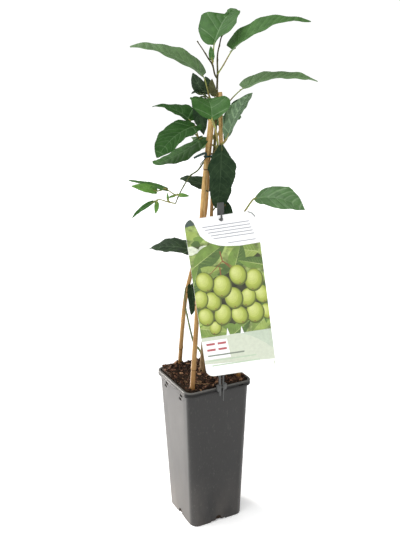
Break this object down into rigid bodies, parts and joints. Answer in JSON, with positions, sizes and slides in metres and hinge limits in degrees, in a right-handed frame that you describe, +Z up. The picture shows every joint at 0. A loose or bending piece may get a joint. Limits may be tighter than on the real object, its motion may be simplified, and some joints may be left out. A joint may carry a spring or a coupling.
{
  "type": "potted hardy kiwi vine",
  "caption": "Young climbing vine with oval leaves, tied to bamboo canes in a tall square dark nursery pot, with a hanging card on a clip-on stick.",
  "frame": {"origin": "centre of the pot's flat underside, where it stands on the ground", "axes": "+Z up; +X and +Y square to the pot's flat sides; the vine's best side looks towards -Y turned 27 degrees to -X"},
  "size_m": [0.2395, 0.1951, 0.7577],
  "materials": {
    "cane_front": "bare bamboo, tan",
    "cane_left": "bare bamboo, tan",
    "cane_right": "bare bamboo, tan",
    "cane_tie": "dark green soft plastic tie",
    "label_card": "printed plastic card, green picture and pale panels",
    "label_stick": "grey moulded plastic",
    "leader": "smooth green-brown young bark",
    "leaves_back_low": "satin green leaves on thin green stalks",
    "leaves_back_middle": "satin green leaves on thin green stalks",
    "leaves_back_upper": "satin green leaves on thin green stalks",
    "leaves_behind_canes": "satin green leaves on thin green stalks",
    "leaves_centre": "satin green leaves on thin green stalks",
    "leaves_crown": "satin green leaves on thin green stalks",
    "leaves_dark_middle": "satin green leaves on thin green stalks",
    "leaves_dark_upper": "satin green leaves on thin green stalks",
    "leaves_hanging": "satin green leaves on thin green stalks",
    "leaves_left": "satin green leaves on thin green stalks",
    "leaves_low": "satin green leaves on thin green stalks",
    "leaves_lower_left": "satin green leaves on thin green stalks",
    "leaves_middle_right": "satin green leaves on thin green stalks",
    "leaves_right": "satin green leaves on thin green stalks",
    "leaves_small_left": "satin green leaves on thin green stalks",
    "leaves_top_left": "satin green leaves on thin green stalks",
    "leaves_top_right": "satin green leaves on thin green stalks",
    "leaves_tuft_left": "satin green leaves on thin green stalks",
    "leaves_underside_right": "satin green leaves on thin green stalks",
    "leaves_upper_right": "satin green leaves on thin green stalks",
    "pot": "satin dark grey thin moulded plastic",
    "shoot_leading": "smooth dark green-brown shoot",
    "shoot_left": "smooth brown shoot",
    "shoot_low": "smooth brown shoot",
    "shoot_twining": "smooth dark green-brown shoot",
    "soil": "dry brown potting mix with chips of bark",
    "trunk": "rough brown vine bark"
  },
  "bodies": {
    "root": {"cane_front": "cane_front", "cane_left": "cane_left", "cane_right": "cane_right", "cane_tie": "cane_tie", "label_card": "label_card", "label_stick": "label_stick", "leader": "leader", "leaves_back_low": "leaves_back_low", "leaves_back_middle": "leaves_back_middle", "leaves_back_upper": "leaves_back_upper", "leaves_behind_canes": "leaves_behind_canes", "leaves_centre": "leaves_centre", "leaves_crown": "leaves_crown", "leaves_dark_middle": "leaves_dark_middle", "leaves_dark_upper": "leaves_dark_upper", "leaves_hanging": "leaves_hanging", "leaves_left": "leaves_left", "leaves_low": "leaves_low", "leaves_lower_left": "leaves_lower_left", "leaves_middle_right": "leaves_middle_right", "leaves_right": "leaves_right", "leaves_small_left": "leaves_small_left", "leaves_top_left": "leaves_top_left", "leaves_top_right": "leaves_top_right", "leaves_tuft_left": "leaves_tuft_left", "leaves_underside_right": "leaves_underside_right", "leaves_upper_right": "leaves_upper_right", "pot": "pot", "shoot_leading": "shoot_leading", "shoot_left": "shoot_left", "shoot_low": "shoot_low", "shoot_twining": "shoot_twining", "soil": "soil", "trunk": "trunk"}
  },
  "joints": []
}
